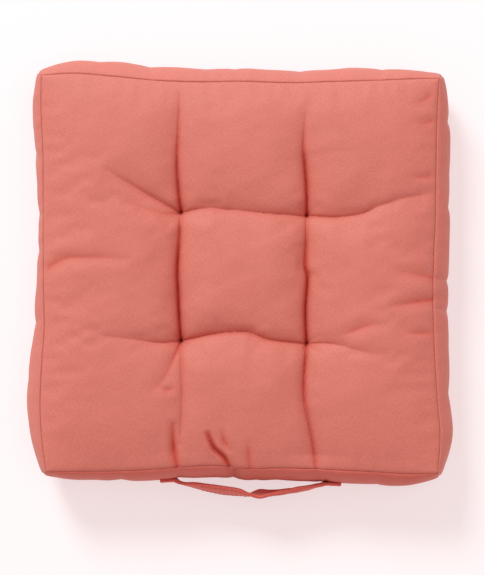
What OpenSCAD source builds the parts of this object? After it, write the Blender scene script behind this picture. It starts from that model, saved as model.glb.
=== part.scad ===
// Square box-edged floor cushion, tufted at four points, with a carrying handle.
// Millimetres. +Z is up, the front with the handle faces -Y.
// The origin is on the floor, at the centre of the square that the seams make.

/* [Cushion] */
// Side of the square that the top and bottom seams make
seam_w = 369; // [330:1:400]
// How far the boxing stands out past the seams at half height
bulge = 15.5; // [10:0.5:18]
// Height of the bottom seam above the floor
bottom_seam_z = 8; // [7:0.5:10]
// Height of the top seam above the floor
top_seam_z = 68; // [60:1:80]
// Rise of the pillows above the top seam
top_crown = 12; // [10:0.5:15]
// Thickness of the cotton cloth
cloth_t = 1; // [0.8:0.1:1.2]
// Width of the cloth that is turned in at a seam
allowance = 9; // [7:0.5:10]

/* [Tufting] */
// Distance between neighbouring tufts
tuft_pitch = 118; // [110:1:124]
// Offset of the tuft grid to the right
tuft_shift_x = 5; // [-6:1:6]
// Offset of the tuft grid to the back
tuft_shift_y = -3; // [-6:1:6]
// Height at which a tie holds the top panel
tuft_top_z = 52; // [46:1:56]
// Height at which a tie holds the bottom panel
tuft_bottom_z = 13; // [11:1:16]
// Radius of a top dimple where it meets the pillows' tops
dimple_top_r = 36; // [30:1:40]
// Radius of a bottom dimple where it meets the pillows' tops
dimple_bottom_r = 26; // [20:1:30]
// Distance between the two strands of a tie
strand_gap = 4; // [3:0.5:5]
// Diameter of the tie's waxed thread
tie_d = 1.2; // [1:0.1:1.4]

/* [Handle] */
// Offset of the handle's middle to the right
handle_x = 11; // [-15:1:15]
// Free length of the handle's opening along the boxing
handle_span = 145; // [120:1:160]
// How far the handle stands out from the boxing
handle_reach = 10.5; // [9:0.5:14]
// Width of the handle's strip of cloth
handle_w = 22; // [20:1:24]
// Thickness of the folded strip
handle_t = 2.4; // [2:0.1:2.8]
// Length of each end that is sewn to the boxing
handle_end_len = 12.5; // [11:0.5:15]

/* [Hidden] */
$fn = 96;

// The cloth's colour, its thread and the white fibre inside.
coral = [0.86, 0.47, 0.42];
coral_thread = [0.78, 0.38, 0.33];
fibre_white = [0.95, 0.95, 0.92];

// A clearance between pieces that lie against each other.
play = 0.1;
far = 600;
seam_half = seam_w / 2;
side_h = top_seam_z - bottom_seam_z;
mid_z = (top_seam_z + bottom_seam_z) / 2;

// The boxing's section is an arc through both seams: its radius and its centre's place.
side_r = (pow(side_h / 2, 2) + pow(bulge, 2)) / (2 * bulge);
side_c = seam_half + bulge - side_r;
front_y = -(seam_half + bulge);
// The corners are drawn in until they stand only this far past the seams' corners.
corner_stand_out = 4;
corner_reach = seam_half * sqrt(2) + corner_stand_out;

// The panels end just inside the seam line and the boxing begins just outside it.
panel_half = seam_half - 1.3;
boxing_half = panel_half + play;
filling_half = panel_half - cloth_t - 1.4;
filling_gap = cloth_t + 0.2;

// Pillow edges along X and Y: seam, tuft line, tuft line, seam.
edges_x = [-panel_half, tuft_shift_x - tuft_pitch / 2, tuft_shift_x + tuft_pitch / 2, panel_half];
edges_y = [-panel_half, tuft_shift_y - tuft_pitch / 2, tuft_shift_y + tuft_pitch / 2, panel_half];
// Heights above the seam, or depths below it: the pillows' tops and the valleys between them.
top_valley = 6;
// The rows along Y are a little higher, so that crossing rows never just touch.
cross_rise = 0.7;
// The floor flattens the bottom out to where its edges roll up to the seam.
edge_roll_r = 80;
roll_past_floor = 0.5;
roll_rise = bottom_seam_z + roll_past_floor;
roll_start = panel_half - sqrt(pow(edge_roll_r, 2) - pow(edge_roll_r - roll_rise, 2));
no_floor = 100;
dimple_floor_r = 4.5;
thread_d = 0.7;

// Tuft places, with the name of each.
tufts = [
    ["tuft_tie_front_left", edges_x[1], edges_y[1]],
    ["tuft_tie_front_right", edges_x[2], edges_y[1]],
    ["tuft_tie_back_left", edges_x[1], edges_y[2]],
    ["tuft_tie_back_right", edges_x[2], edges_y[2]],
];

// Handle: the axis that it swings on, and the arc that it follows in plan.
hinge_y = front_y - 2;
hinge_z = mid_z;
half_span = handle_span / 2;
arc_r = (pow(half_span, 2) + pow(handle_reach, 2)) / (2 * handle_reach);
arc_c_y = hinge_y - handle_reach + arc_r;
// Half width of the strap at distances from its end, where its cloth gathers.
strap_taper = [[0.3, 1.2], [10, 3.6], [25, 7.5], [40, handle_w / 2]];
stitch_len = 3;
end_stitch_len = 1.8;
stitch_pitch = 4;
edge_row_z = handle_w / 2 - 3;
edge_row_half = half_span - 40;
closing_len = 150;

// Heights of the dimples' floors beyond the seams, and of the lowest cloth below them.
top_tuft_h = tuft_top_z - top_seam_z;
bottom_tuft_h = bottom_seam_z - tuft_bottom_z;
function tuft_low(h) = min(h - 3 * cloth_t, -allowance - 1);

// Drop of a pillow's edge below its top, for pillow i of three.
function drops(i, crown, valley) =
    [i == 0 ? crown : crown - valley, i == 2 ? crown : crown - valley];

// Section through a row of three pillows, k inside the cloth's outer face, in heights above the seam.
module pillow_section(edges, crown, valley, k, half, low, high) {
    intersection() {
        for (i = [0:2]) {
            w = edges[i + 1] - edges[i];
            d = drops(i, crown, valley);
            from_edge = w * sqrt(d[0]) / (sqrt(d[0]) + sqrt(d[1]));
            r = (pow(from_edge, 2) + pow(d[0], 2)) / (2 * d[0]);
            translate([edges[i] + from_edge, crown - r])
                circle(r = r - k);
        }
        translate([-half, low])
            square([2 * half, high - low]);
    }
}

// The space that a section along X and a section along Y have in common.
module crossed_sections() {
    intersection() {
        rotate([90, 0, 0])
            linear_extrude(far, center = true)
                children(0);
        rotate([90, 0, 90])
            linear_extrude(far, center = true)
                children(1);
    }
}

// Everything below the three by three pillows, in heights above the seam.
module under_pillows(crown, valley, k, half, low, flat_z) {
    crossed_sections() {
        pillow_section(edges_x, crown, valley, k, half, low, flat_z - k);
        pillow_section(edges_y, crown + cross_rise, valley, k, half, low - 1, no_floor);
    }
}

// Section through the bottom, k inside the cloth's outer face, in depths below its seam.
module base_section(k, half, low, high) {
    intersection() {
        union() {
            translate([-roll_start, low])
                square([2 * roll_start, roll_rise - k - low]);
            for (s = [-1, 1])
                translate([s * roll_start, roll_rise - edge_roll_r])
                    circle(r = edge_roll_r - k);
        }
        translate([-half, low])
            square([2 * half, high - low]);
    }
}

// Everything above the bottom panel, in depths below its seam.
module over_base(k, half, low) {
    crossed_sections() {
        base_section(k, half, low, bottom_seam_z - k);
        base_section(k, half, low - 1, no_floor);
    }
}

// The funnel at one tuft, from its floor at floor_z to its rim, widened by grow.
module funnel(floor_z, rim_z, rim_r, grow) {
    rise = 2 * (rim_z - floor_z);
    slope = (rim_r - dimple_floor_r) / (rim_z - floor_z);
    low_r = dimple_floor_r + grow * (sqrt(1 + slope * slope) - slope);
    translate([0, 0, floor_z - grow])
        cylinder(r1 = low_r, r2 = low_r + slope * rise, h = rise);
}

module at_tufts() {
    for (t = tufts)
        translate([t[1], t[2], 0])
            children();
}

// Both strands' holes through the cloth or the fibre.
module strand_holes(d) {
    for (s = [-1, 1])
        translate([s * strand_gap / 2, 0, 0])
            cylinder(d = d, h = far, center = true);
}

// A square wall around the origin, from half width a to half width b.
module square_wall(a, b, low, high) {
    difference() {
        translate([-b, -b, low])
            cube([2 * b, 2 * b, high - low]);
        translate([-a, -a, low - 1])
            cube([2 * a, 2 * a, high - low + 2]);
    }
}

// The cloth of a panel: child 0 is its outer form, and child 1 the space inside it.
module panel_cloth(tuft_h, rim_z, rim_r) {
    difference() {
        children(0);
        difference() {
            children(1);
            at_tufts() funnel(tuft_h, rim_z, rim_r, cloth_t);
        }
        square_wall(panel_half - 2 * cloth_t, panel_half + 1, tuft_low(tuft_h) - 2, -allowance);
        at_tufts() funnel(tuft_h, rim_z, rim_r, 0);
        at_tufts() strand_holes(tie_d + 2 * play);
    }
}

module top_panel() {
    color(coral)
        translate([0, 0, top_seam_z])
            panel_cloth(top_tuft_h, top_crown, dimple_top_r) {
                under_pillows(top_crown, top_valley, 0, panel_half, tuft_low(top_tuft_h), no_floor);
                under_pillows(top_crown, top_valley, cloth_t, panel_half - cloth_t,
                    tuft_low(top_tuft_h) - 2, no_floor);
            }
}

module bottom_panel() {
    color(coral)
        translate([0, 0, bottom_seam_z])
            mirror([0, 0, 1])
                panel_cloth(bottom_tuft_h, bottom_seam_z, dimple_bottom_r) {
                    over_base(0, panel_half, tuft_low(bottom_tuft_h));
                    over_base(cloth_t, panel_half - cloth_t, tuft_low(bottom_tuft_h) - 2);
                }
}

// Section through two opposite bulging sides, k inside the cloth's outer face.
module side_section(k, low, high) {
    intersection() {
        union() {
            translate([-side_c, low])
                square([2 * side_c, high - low]);
            for (s = [-1, 1])
                translate([s * side_c, mid_z])
                    circle(r = side_r - k);
        }
        translate([-far / 2, low])
            square([far, high - low]);
    }
}

// The space between the two seams, k inside the cloth's outer face, with its corners drawn in.
module between_seams(k, over) {
    low = bottom_seam_z - over;
    high = top_seam_z + over;
    intersection() {
        crossed_sections() {
            side_section(k, low, high);
            side_section(k, low - 1, high + 1);
        }
        cylinder(r = corner_reach - k, h = far, center = true);
    }
}

// One quarter of the plan, pointing to -Y, a little back from its diagonals.
module front_quarter() {
    reach = far / 2;
    translate([0, 0, -far / 2])
        linear_extrude(far)
            polygon([[0, -play], [-reach, -reach - play], [reach, -reach - play]]);
}

// The allowance of a boxing strip's two ends, along the diagonals.
module end_allowances() {
    intersection() {
        difference() {
            between_seams(cloth_t / 2, 0);
            between_seams(allowance, 1);
        }
        translate([-far / 2, -far / 2, bottom_seam_z + allowance + 2])
            cube([far, far, side_h - 2 * allowance - 4]);
        for (s = [-1, 1])
            rotate([0, 0, 45 * s])
                translate([-cloth_t, -far / 2, 0])
                    cube([2 * cloth_t, far, far]);
    }
}

// One strip of boxing with all its allowances, turned to face one side.
module boxing_strip(turn) {
    color(coral)
        rotate([0, 0, turn])
            intersection() {
                front_quarter();
                difference() {
                    union() {
                        difference() {
                            between_seams(0, 0);
                            between_seams(cloth_t, 1);
                        }
                        for (z = [bottom_seam_z, top_seam_z - allowance])
                            square_wall(boxing_half - 1, boxing_half + cloth_t, z, z + allowance);
                        end_allowances();
                    }
                    translate([-boxing_half, -boxing_half, top_seam_z - allowance - 1])
                        cube([2 * boxing_half, 2 * boxing_half, far]);
                    translate([-boxing_half, -boxing_half, bottom_seam_z + allowance + 1 - far])
                        cube([2 * boxing_half, 2 * boxing_half, far]);
                }
            }
}

// The filling between the panels, without the part that bulges past their edges.
module filling_core() {
    intersection() {
        translate([0, 0, top_seam_z])
            under_pillows(top_crown, top_valley, filling_gap, filling_half, -side_h - 40, no_floor);
        translate([0, 0, bottom_seam_z])
            mirror([0, 0, 1])
                over_base(filling_gap, filling_half + 5, -side_h - 40);
    }
}

// Loose polyester fibre, in one body that fills the cover and follows its dimples.
module fibre_filling() {
    color(fibre_white)
        difference() {
            intersection() {
                union() {
                    filling_core();
                    between_seams(filling_gap, -allowance - 0.4);
                }
                cylinder(r = corner_reach - allowance - 3.4, h = far, center = true);
            }
            translate([0, 0, top_seam_z])
                at_tufts() funnel(top_tuft_h, top_crown, dimple_top_r, filling_gap);
            translate([0, 0, bottom_seam_z])
                mirror([0, 0, 1])
                    at_tufts() funnel(bottom_tuft_h, bottom_seam_z, dimple_bottom_r, filling_gap);
            at_tufts() strand_holes(tie_d + 4 * play);
        }
}

// A closed loop of waxed thread through the cushion, with its knot underneath.
module tuft_tie(x, y) {
    top_z = tuft_top_z + tie_d / 2 + play;
    bottom_z = tuft_bottom_z - tie_d / 2 - play;
    color(coral_thread)
        translate([x, y, 0]) {
            for (s = [-1, 1])
                translate([s * strand_gap / 2, 0, 0]) {
                    translate([0, 0, bottom_z])
                        cylinder(d = tie_d, h = top_z - bottom_z);
                    for (z = [bottom_z, top_z])
                        translate([0, 0, z])
                            sphere(d = tie_d);
                }
            for (z = [bottom_z, top_z])
                translate([-strand_gap / 2, 0, z])
                    rotate([0, 90, 0])
                        cylinder(d = tie_d, h = strand_gap);
            translate([0, 0, bottom_z - tie_d / 2])
                sphere(d = 2 * tie_d);
        }
}

// A square ring of thread that lies against the inside of a panel's allowance.
module seam_thread(z) {
    half = panel_half - cloth_t - play - thread_d / 2;
    color(coral_thread)
        for (turn = [0:90:270])
            rotate([0, 0, turn])
                translate([-half, -half, z]) {
                    rotate([0, 90, 0])
                        cylinder(d = thread_d, h = 2 * half);
                    sphere(d = thread_d);
                }
}

// One upright thread inside each corner, beside the two turned-in ends.
module corner_seam_threads() {
    low = bottom_seam_z + allowance + 3;
    high = top_seam_z - allowance - 3;
    color(coral_thread)
        for (turn = [45:90:315])
            rotate([0, 0, turn])
                translate([corner_reach - allowance - 1.5, 0, low])
                    cylinder(d = thread_d, h = high - low);
}

// A short round-ended stitch along X.
module stitch(len, d) {
    rotate([0, 90, 0])
        cylinder(d = d, h = len, center = true);
    for (s = [-1, 1])
        translate([s * len / 2, 0, 0])
            sphere(d = d);
}

// The stitches that close the opening for the filling, along the bottom seam at the back.
module closing_stitches() {
    color(coral_thread)
        for (x = [-closing_len / 2:stitch_pitch:closing_len / 2])
            translate([x, seam_half - 0.1, bottom_seam_z - 0.8])
                stitch(stitch_len, thread_d);
}

// A band in front of the boxing's outer face, from height a to height b above it.
module over_boxing(a, b, x_low, x_high, half_w) {
    intersection() {
        translate([x_low, front_y + side_r, mid_z])
            rotate([0, 90, 0])
                difference() {
                    cylinder(r = side_r + b, h = x_high - x_low);
                    translate([0, 0, -1])
                        cylinder(r = side_r + a, h = x_high - x_low + 2);
                }
        translate([x_low - 1, front_y - 10, mid_z - half_w])
            cube([x_high - x_low + 2, 20, 2 * half_w]);
    }
}

// A sewn end of the handle, s = -1 left or 1 right.
module handle_end(s) {
    inner = handle_x + s * half_span;
    outer = inner + s * handle_end_len;
    color(coral)
        over_boxing(play, handle_t, min(inner, outer), max(inner, outer), handle_w / 2);
}

// Half outline of the strap seen from the front, from its middle to the end on side s.
function strap_side(s) = [for (p = strap_taper) [s * (half_span - p[0]), p[1]]];

// The loop of the handle that swings: an arc in plan, narrowed where its cloth gathers.
module handle_strap() {
    outline = concat(strap_side(-1), [for (i = [3:-1:0]) strap_side(1)[i]]);
    lower = [for (i = [len(outline) - 1:-1:0]) [outline[i][0], -outline[i][1]]];
    color(coral)
        intersection() {
            translate([handle_x, arc_c_y, hinge_z])
                difference() {
                    cylinder(r = arc_r + handle_t / 2, h = handle_w + 2, center = true);
                    cylinder(r = arc_r - handle_t / 2, h = handle_w + 4, center = true);
                }
            translate([handle_x, hinge_y + 10, hinge_z])
                rotate([90, 0, 0])
                    linear_extrude(60)
                        polygon(concat(outline, lower));
        }
}

// Two rows of stitches along the handle's outer face, where it has its full width.
module handle_edge_stitches() {
    reach = 2 * asin(edge_row_half / arc_r);
    step = stitch_pitch / arc_r * 180 / PI;
    color(coral_thread)
        for (s = [-1, 1])
            for (a = [-reach / 2:step:reach / 2])
                translate([handle_x, arc_c_y, hinge_z + s * edge_row_z])
                    rotate([0, 0, a])
                        translate([0, -arc_r - handle_t / 2 - thread_d / 2 - play, 0])
                            stitch(stitch_len, thread_d);
}

// The box of stitches that holds one end of the handle: two rows along it and two across.
module handle_end_stitches(s) {
    inner = half_span + 2;
    outer = half_span + handle_end_len - 2;
    row_r = side_r + handle_t + play + thread_d / 2;
    tilt = asin(edge_row_z / row_r);
    color(coral_thread)
        translate([handle_x, front_y + side_r, mid_z]) {
            for (up = [-1, 1])
                for (part = [0.3, 0.7])
                    rotate([up * tilt, 0, 0])
                        translate([s * (inner + part * (outer - inner)), -row_r, 0])
                            stitch(end_stitch_len, thread_d);
            for (x = [inner, outer])
                for (part = [-0.6, -0.2, 0.2, 0.6])
                    rotate([part * tilt, 0, 0])
                        translate([s * x, -row_r, 0])
                            rotate([0, 90, 0])
                                stitch(end_stitch_len, thread_d);
        }
}

top_panel();
bottom_panel();
boxing_strip(0);  // boxing_front
boxing_strip(90);  // boxing_right
boxing_strip(180);  // boxing_back
boxing_strip(270);  // boxing_left
fibre_filling();
for (t = tufts)
    tuft_tie(t[1], t[2]);
seam_thread(top_seam_z - 3);  // top_seam_thread
seam_thread(bottom_seam_z + 3);  // bottom_seam_thread
corner_seam_threads();
closing_stitches();
handle_strap();
handle_end(-1);  // handle_end_left
handle_end(1);  // handle_end_right
handle_edge_stitches();
handle_end_stitches(-1);  // handle_end_stitches_left
handle_end_stitches(1);  // handle_end_stitches_right
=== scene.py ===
"""Floor cushion: coral canvas cover, four tufts, carrying handle. Lengths are metres, with mm() for
sizes in millimetres. Every surface is a function of two parameters on a grid."""
import math
import bpy
import numpy as np
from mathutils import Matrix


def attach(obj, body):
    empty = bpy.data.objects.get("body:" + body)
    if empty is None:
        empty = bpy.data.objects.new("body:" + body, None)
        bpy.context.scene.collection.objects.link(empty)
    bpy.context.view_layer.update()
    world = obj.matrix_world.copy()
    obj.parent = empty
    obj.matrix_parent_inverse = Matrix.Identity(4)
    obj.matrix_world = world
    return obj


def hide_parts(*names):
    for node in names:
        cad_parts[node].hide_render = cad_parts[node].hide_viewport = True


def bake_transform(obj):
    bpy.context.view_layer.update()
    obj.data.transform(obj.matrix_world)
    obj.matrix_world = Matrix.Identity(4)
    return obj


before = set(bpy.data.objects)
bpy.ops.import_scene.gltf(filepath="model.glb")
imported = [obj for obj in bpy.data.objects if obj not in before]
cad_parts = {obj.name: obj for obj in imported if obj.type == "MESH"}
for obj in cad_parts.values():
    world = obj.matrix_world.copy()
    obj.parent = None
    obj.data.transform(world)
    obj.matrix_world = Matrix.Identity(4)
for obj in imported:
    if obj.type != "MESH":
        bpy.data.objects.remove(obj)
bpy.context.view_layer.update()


def mm(value):
    """Millimetres as metres."""
    return np.asarray(value, float) * 0.001


# ---------------------------------------------------------------- camera and lights
CAMERA_X, CAMERA_Y, CAMERA_Z = 3, -12.7, 1778

lens = bpy.data.cameras.new("camera")
lens.lens, lens.sensor_width, lens.sensor_fit = 115.5, 36, "VERTICAL"
lens.sensor_height = 36
lens.clip_start, lens.clip_end = 0.1, 20
camera = bpy.data.objects.new("camera", lens)
camera.location = mm([CAMERA_X, CAMERA_Y, CAMERA_Z])
bpy.context.collection.objects.link(camera)
bpy.context.scene.camera = camera


def softbox(name, place, aim, size, watts, colour):
    """A square area light at place, turned to shine at aim; all in metres and watts."""
    data = bpy.data.lights.new(name, "AREA")
    data.shape, data.size, data.energy, data.color = "SQUARE", size, watts, colour
    light = bpy.data.objects.new(name, data)
    place, aim = np.array(place, float), np.array(aim, float)
    back = (place - aim) / np.linalg.norm(place - aim)
    side = np.cross([0, 1, 0.01], back)
    side /= np.linalg.norm(side)
    up = np.cross(back, side)
    turn = np.eye(4)
    turn[:3, 0], turn[:3, 1], turn[:3, 2], turn[:3, 3] = side, up, back, place
    light.matrix_world = turn.T
    bpy.context.collection.objects.link(light)
    return light


softbox("window_softbox", (-2.2, 4.3, 3.9), (0, 0, 0.05), 1.9, 255, (0.88, 1, 1))
softbox("overhead_softbox", (0.6, 0.1, 2.6), (0, 0, 0), 1.4, 8, (1, 0.9, 0.88))
world = bpy.data.worlds.new("studio")
world.use_nodes = True
world.node_tree.nodes["Background"].inputs["Color"].default_value = (1, 0.70, 0.64, 1)
world.node_tree.nodes["Background"].inputs["Strength"].default_value = 0.6
bpy.context.scene.world = world
bpy.context.scene.view_settings.view_transform = "Standard"


# ---------------------------------------------------------------- smooth curves and ripples
def through(points, t):
    """Smooth values at t through given points (t, value): on each span a cubic whose end slopes are
    the chords across the neighbouring points."""
    points = np.array(points, float)
    at, value = points[:, 0], points[:, 1:]
    slope = np.gradient(value, at, axis=0)
    t = np.clip(np.asarray(t, float), at[0], at[-1])
    i = np.clip(np.searchsorted(at, t, side="right") - 1, 0, len(at) - 2)
    h = (at[i + 1] - at[i])[..., None]
    s = (t[..., None] - at[i][..., None]) / h
    a, b = value[i], value[i + 1]
    out = (a * (1 + 2 * s) * (1 - s) ** 2 + b * s ** 2 * (3 - 2 * s)
           + h * slope[i] * s * (1 - s) ** 2 - h * slope[i + 1] * s ** 2 * (1 - s))
    return out[..., 0] if out.shape[-1] == 1 else out


def ripple(t, wave, seed, terms=9):
    """Uneven wave of t, about -1 to 1: a sum of cosines with wavelengths from 0.6 to 1.7 of wave."""
    r = np.random.default_rng(seed)
    k = 2 * np.pi / (wave * r.uniform(0.6, 1.7, terms))
    phase = r.uniform(0, 2 * np.pi, terms)
    return np.cos(np.asarray(t)[..., None] * k + phase).sum(-1) / math.sqrt(terms)


def swell(x, y, wave, seed, terms=22):
    """Uneven relief of x and y, about -1 to 1: cosines in all directions, wavelengths near wave."""
    r = np.random.default_rng(seed)
    turn = r.uniform(0, 2 * np.pi, terms)
    k = 2 * np.pi / (wave * r.uniform(0.6, 1.8, terms))
    phase = r.uniform(0, 2 * np.pi, terms)
    out = np.zeros(np.shape(x))
    for a, f, p in zip(turn, k, phase):
        out += np.cos(f * (np.cos(a) * x + np.sin(a) * y) + p)
    return out / math.sqrt(terms)


def path_distance(x, y, path):
    """Distance from each (x, y) to a smooth path through given points, and the share of the path's
    length at which the nearest point lies."""
    path = np.array(path, float)
    knots = np.column_stack([np.linspace(0, 1, len(path)), path])
    line = through(knots, np.linspace(0, 1, 6 * (len(path) - 1) + 1))
    best = np.full(np.shape(x), 1e9)
    share = np.zeros(np.shape(x))
    n = len(line) - 1
    for i, (a, b) in enumerate(zip(line[:-1], line[1:])):
        d = b - a
        s = np.clip(((x - a[0]) * d[0] + (y - a[1]) * d[1]) / (d @ d), 0, 1)
        away = np.hypot(x - a[0] - s * d[0], y - a[1] - s * d[1])
        near = away < best
        best = np.where(near, away, best)
        share = np.where(near, (i + s) / n, share)
    return best, share


# ---------------------------------------------------------------- cover, in millimetres
SEAM_LOW, SEAM_HIGH, MIDDLE = 8, 68, 38
CROWN = 16.5
# Where the ties go through, and how the cover's seams run: (place along the side, distance out).
HOLE_HALF = 1.3
TUFTS = {"back_left": (-54.3, 57.4), "back_right": (62.8, 54.4),
         "front_left": (-54.5, -62.5), "front_right": (62.7, -64.9)}
SEAM_OUT = {
    "front": [(-1, 183.8), (-0.8, 183.4), (-0.5, 182.0), (-0.32, 179.6), (-0.12, 178.0), (0.02, 180.6),
              (0.2, 180.2), (0.4, 181.6), (0.66, 183.6), (0.85, 185.6), (1, 185.4)],
    "back": [(-1, 184.4), (-0.84, 186.0), (-0.65, 183.4), (-0.43, 179.6), (-0.2, 178.0), (0, 178.6),
             (0.24, 177.2), (0.45, 178.2), (0.7, 179.6), (0.9, 181.0), (1, 181.4)],
    "left": [(-1, 179.4), (-0.85, 183.0), (-0.68, 184.8), (-0.45, 183.2), (-0.27, 181.0), (-0.1, 181.6),
             (0.3, 182.0), (0.6, 182.2), (0.85, 184.0), (1, 183.8)],
    "right": [(-1, 184.0), (-0.85, 186.4), (-0.6, 183.6), (-0.4, 181.4), (-0.1, 179.8), (0.1, 180.6),
              (0.3, 182.2), (0.6, 182.8), (0.85, 184.0), (1, 185.8)],
}
BULGE = {
    "front": [(-1, 5.5), (-0.9, 9.0), (-0.7, 11.6), (-0.3, 13.2), (0.2, 14.0), (0.6, 14.6), (0.88, 12.6),
              (0.96, 8.4), (1, 5.5)],
    "back": [(-1, 6.2), (-0.9, 13.0), (-0.72, 15.8), (-0.2, 15.4), (0.3, 14.6), (0.75, 13.4),
             (0.93, 9.6), (1, 6.2)],
    "left": [(-1, 5.5), (-0.9, 11.0), (-0.7, 14.6), (-0.3, 12.6), (0.0, 9.2), (0.25, 7.6), (0.5, 9.4),
             (0.8, 10.6), (0.93, 9.0), (1, 6.2)],
    "right": [(-1, 5.5), (-0.9, 11.6), (-0.6, 14.6), (-0.2, 16.8), (0.1, 17.2), (0.5, 15.2), (0.8, 15.0),
              (0.93, 10.6), (1, 6.2)],
}
SIDES = {"front": ((1, 0), (0, -1)), "back": ((1, 0), (0, 1)), "left": ((0, 1), (-1, 0)),
         "right": ((0, 1), (1, 0))}


def corner(ends):
    """The seam corner shared by two sides, given as (side, place) for its X and its Y."""
    (side_x, at_x), (side_y, at_y) = ends
    out_x = SIDES[side_x][1][0] * through(SEAM_OUT[side_x], [at_x])[0]
    out_y = SIDES[side_y][1][1] * through(SEAM_OUT[side_y], [at_y])[0]
    return np.array([out_x, out_y])


CORNERS = {(-1, -1): corner((("left", -1), ("front", -1))), (1, -1): corner((("right", -1), ("front", 1))),
           (-1, 1): corner((("left", 1), ("back", -1))), (1, 1): corner((("right", 1), ("back", 1)))}


def seam(side, s):
    """(x, y) of the seam line on one side, s from -1 to 1: even steps along, out by SEAM_OUT."""
    along, out = np.array(SIDES[side][0], float), np.array(SIDES[side][1], float)
    key = {"front": lambda k: (k, -1), "back": lambda k: (k, 1), "left": lambda k: (-1, k),
           "right": lambda k: (1, k)}[side]
    low, high = CORNERS[key(-1)] @ along, CORNERS[key(1)] @ along
    s = np.asarray(s, float)
    way = low + (high - low) * (s + 1) / 2
    return way[..., None] * along + through(SEAM_OUT[side], s)[..., None] * out


def panel_plan(u, v):
    """(x, y) inside the four seams for a grid of u and v, by blending opposite sides."""
    front, back = seam("front", u)[None], seam("back", u)[None]
    left, right = seam("left", v)[:, None], seam("right", v)[:, None]
    p, q = (1 + u[None, :, None]) / 2, (1 + v[:, None, None]) / 2
    flat = ((1 - p) * (1 - q) * CORNERS[-1, -1] + p * (1 - q) * CORNERS[1, -1]
            + (1 - p) * q * CORNERS[-1, 1] + p * q * CORNERS[1, 1])
    return (1 - q) * front + q * back + (1 - p) * left + p * right - flat


# Valleys of the top, from tie to tie and from the ties towards the seams: path, then the depths of the
# broad valley and of the sharp crease in its floor, each at the path's start, middle and end.
VALLEYS = [
    ([(-54.3, 57), (-55.5, 30), (-57.2, 4), (-56.4, -20), (-54.5, -62)], (12, 13, 12.5), (1.0, 4.6, 5.2)),
    ([(62.8, 54), (62.2, 30), (61.6, 8), (63.2, -6), (61.4, -34), (62.7, -65)], (12, 13, 12.5),
     (0.8, 4.0, 4.6)),
    ([(-54.3, 57), (-56.4, 80), (-57.5, 104), (-56.0, 136), (-54.6, 168)], (12, 9, 2), (4.2, 2.6, 0.1)),
    ([(62.8, 54), (62.4, 80), (60.6, 104), (59.6, 118), (61.5, 150)], (12, 10, 2), (4.2, 3.2, 0.1)),
    ([(-54.5, -62), (-53.6, -84), (-52.4, -112), (-53.4, -136), (-54.6, -158)], (11, 8, 5),
     (1.4, 0.8, 0.5)),
    ([(62.7, -65), (60.4, -96), (60.8, -118), (64.6, -138), (68.6, -158), (71.4, -178), (73, -194)],
     (12, 10, 8),
     (2.8, 2.0, 2.4)),
    ([(-54.3, 57), (-34, 60), (-8, 59.2), (28, 55.6), (62.8, 54)], (12, 11, 12), (1.4, 0.6, 1.4)),
    ([(-54.5, -62.5), (-40, -59), (-24, -55.6), (2, -53.6), (14, -56), (28, -61), (62.7, -65)],
     (12, 11, 12), (2.2, 1.8, 1.8)),
    ([(-54.3, 57), (-68, 64), (-88, 75), (-108, 87), (-126, 98)], (11, 8, 0.5), (2.2, 1.4, 0.1)),
    ([(62.8, 54), (88, 52.5), (112, 55), (127, 61.5), (150, 69), (176, 74)], (11, 9, 3),
     (1.6, 0.8, 0.2)),
    ([(-54.5, -62), (-73, -64), (-93, -61.5), (-126, -57)], (11, 7, 1), (1.8, 0.6, 0.1)),
    ([(62.7, -65), (82, -64.6), (100, -68), (130, -76)], (11, 7, 1), (1.6, 0.5, 0.1)),
]
# Single folds: path, half width, depth at start, middle and end, height of the lip beside it.
FOLDS = [
    ([(-54, -62), (-60, -77), (-70, -97), (-84, -112)], 5.0, (3.4, 1.6, 0.2), 0.5),
    ([(-54, 57), (-70, 56), (-92, 62), (-110, 68)], 5.0, (2.0, 1.0, 0.2), 0.4),
    ([(-176, 7), (-160, 14), (-138, 15), (-102, 14)], 5.0, (2.0, 1.6, 0.2), 0.7),
    ([(-29, -148), (-25.5, -157), (-22, -163), (-13.5, -171), (-7.5, -182)], 1.8, (3.0, 8, 10), 1.8),
    ([(-16, -147), (-13.5, -156), (-10, -162)], 2.6, (0.8, 2.4, 1.0), 0.6),
    ([(-61, -140), (-60.5, -161), (-57.5, -180)], 2.8, (1.6, 4.0, 4.0), 0.8),
    ([(8, -158), (9, -168), (10, -180)], 3.0, (0.5, 2.2, 2.6), 0.6),
    ([(179, -24), (157, -27), (134, -31)], 5.0, (3.0, 1.8, 0.2), 0.7),
    ([(179, -4), (162, 0), (142, 3)], 5.0, (2.2, 1.2, 0.2), 0.5),
    ([(92, -58), (112, -50), (130, -45)], 5.0, (0.3, 1.8, 0.3), 0.6),
    ([(176, -55), (165, -55), (154, -54)], 3.5, (1.6, 1.4, 0.2), 0.4),
    ([(-72, -104), (-66, -107), (-60, -106)], 3.0, (0.3, 2.0, 0.3), 0.6),
    ([(176, 164), (170, 160), (160, 158)], 3.5, (1.8, 1.2, 0.2), 0.4),
    ([(178, 141), (172, 139), (163, 139)], 3.5, (1.6, 1.0, 0.2), 0.4),
    ([(176, 90), (168, 89), (160, 90)], 3.5, (1.6, 1.0, 0.2), 0.4),
]


def fold_depth(x, y):
    """How far the single folds sink the cloth: depth times exp(-(distance / width)), with a low lip of
    raised cloth at twice the width."""
    sink = np.zeros(np.shape(x))
    for path, width, depth, lip in FOLDS:
        away, share = path_distance(x, y, path)
        deep = through([(0, depth[0]), (0.5, depth[1]), (1, depth[2])], share)
        sink += deep * np.exp(-away / width)
        sink -= lip * deep / max(depth) * np.exp(-((away - 2.4 * width) / (1.4 * width)) ** 2)
    return sink


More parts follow.
